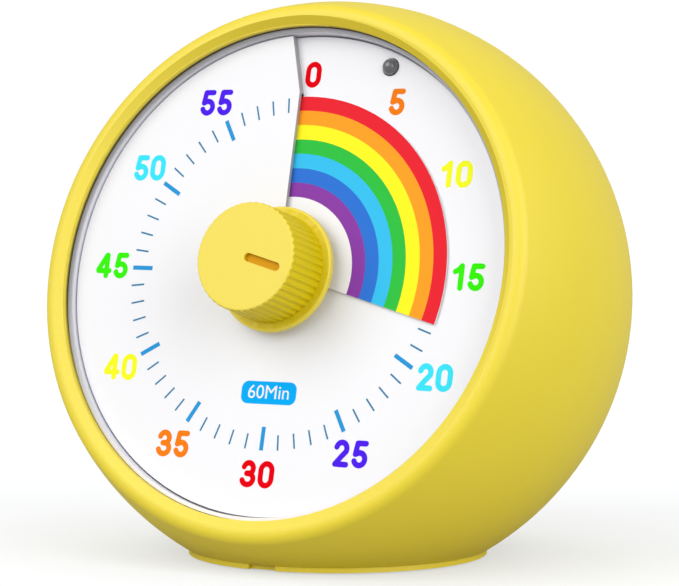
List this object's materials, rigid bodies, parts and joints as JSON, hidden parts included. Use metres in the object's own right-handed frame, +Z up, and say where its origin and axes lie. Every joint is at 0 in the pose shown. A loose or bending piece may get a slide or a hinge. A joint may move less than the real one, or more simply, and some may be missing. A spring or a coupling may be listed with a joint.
{
  "type": "visual countdown timer",
  "caption": "Ball-shaped desk timer with a tilted dial, a ribbed knob and a slit dial plate that a rainbow disc screws out of to show the minutes left.",
  "frame": {"origin": "centre of the foot pad's face on the table, straight below the ball's centre", "axes": "+Z up, the dial looks towards -Y and 13.9 degrees up, +X to the right as seen from the front"},
  "size_m": [0.1, 0.0733, 0.094],
  "materials": {
    "yellow_shell": "satin moulded shell",
    "yellow_knob": "satin moulded knob",
    "white_plastic": "matt moulded",
    "dial_face": "matt, printed",
    "rainbow_sheet": "printed in seven coloured bands",
    "amber_insert": "gloss",
    "acetal": "matt",
    "grey_plastic": "matt",
    "black_plastic": "matt",
    "fibre_washer": "matt fibre",
    "foot_rubber": "matt",
    "smoked_lens": "gloss, smoked",
    "board_laminate": "solder mask",
    "spring_steel": "plated",
    "steel_can": "plated",
    "tinned_wire": "tinned",
    "aluminium_can": "satin",
    "brass_bush": "turned",
    "copper_winding": "enamelled wire",
    "magnet": "sintered",
    "cell_jacket": "printed jacket"
  },
  "bodies": {
    "housing": {"ball_housing": "yellow_shell", "rear_cover": "yellow_shell", "base_cover": "yellow_shell", "base_pad": "foot_rubber", "dial_tray": "white_plastic", "dial_plate": "dial_face", "shaft_bushing": "brass_bush", "idler_pin": "spring_steel", "motor_case": "steel_can", "motor_coil": "copper_winding", "gear_case": "grey_plastic", "status_led": "smoked_lens", "led_legs": "tinned_wire", "circuit_board": "board_laminate", "timer_chip": "black_plastic", "quartz_crystal": "steel_can", "smoothing_capacitor": "aluminium_can", "button_board": "board_laminate", "button_switch": "black_plastic", "battery_cell": "cell_jacket", "contact_spring": "tinned_wire", "contact_plate": "tinned_wire", "buzzer": "black_plastic", "slide_switch": "steel_can", "cover_screws": "spring_steel", "tray_screws": "spring_steel", "case_screws": "spring_steel", "board_screws": "spring_steel", "button_board_screws": "spring_steel"},
    "knob": {"knob": "yellow_knob", "knob_pointer": "amber_insert", "centre_shaft": "acetal", "retaining_clip": "spring_steel", "clutch_spring": "spring_steel", "clutch_washer": "fibre_washer", "drive_gear": "acetal"},
    "disc": {"rainbow_disc": "rainbow_sheet", "disc_hub": "white_plastic"},
    "idler": {"idler_gear": "acetal"},
    "motor": {"motor_rotor": "magnet", "motor_pinion": "acetal"},
    "stop_button": {"stop_button": "yellow_shell", "switch_plunger": "black_plastic"},
    "volume_slider": {"volume_slider": "black_plastic"},
    "battery_door": {"battery_door": "yellow_shell"}
  },
  "joints": [
    {"name": "knob_turn", "type": "hinge", "parent": "housing", "child": "knob", "pos_m": [0, 0, 0.044], "axis": [0, 0.9707, -0.2402], "range_deg": [-105.48, 254.52]},
    {"name": "disc_rise", "type": "slide", "parent": "knob", "child": "disc", "axis": [0, -0.9707, 0.2402], "range_m": [-0.00041, 0.00099]},
    {"name": "idler_spin", "type": "hinge", "parent": "housing", "child": "idler", "pos_m": [-0.01061, -0.01226, 0.03611], "axis": [0, 0.9707, -0.2402], "range_deg": [-1020, 424]},
    {"name": "motor_spin", "type": "hinge", "parent": "housing", "child": "motor", "pos_m": [-0.00212, -0.00944, 0.02667], "axis": [0, 0.9707, -0.2402], "range_deg": [-1268, 3057]},
    {"name": "stop_button_press", "type": "slide", "parent": "housing", "child": "stop_button", "axis": [0, 0, -1], "range_m": [0, 0.0006], "stiffness_N_per_m": 1500, "springref_m": -0.0003},
    {"name": "volume_slide", "type": "slide", "parent": "housing", "child": "volume_slider", "axis": [1, 0, 0], "range_m": [-0.002, 0.002]},
    {"name": "battery_door_hinge", "type": "hinge", "parent": "housing", "child": "battery_door", "pos_m": [0, 0.04, 0.0321], "axis": [-1, 0, 0], "range_deg": [0, 70]}
  ],
  "couplings": [
    {"joint": "knob_turn", "follows": "disc_rise", "rad_per_m": 4488},
    {"joint": "idler_spin", "follows": "disc_rise", "rad_per_m": -17952},
    {"joint": "motor_spin", "follows": "disc_rise", "rad_per_m": 53856}
  ]
}
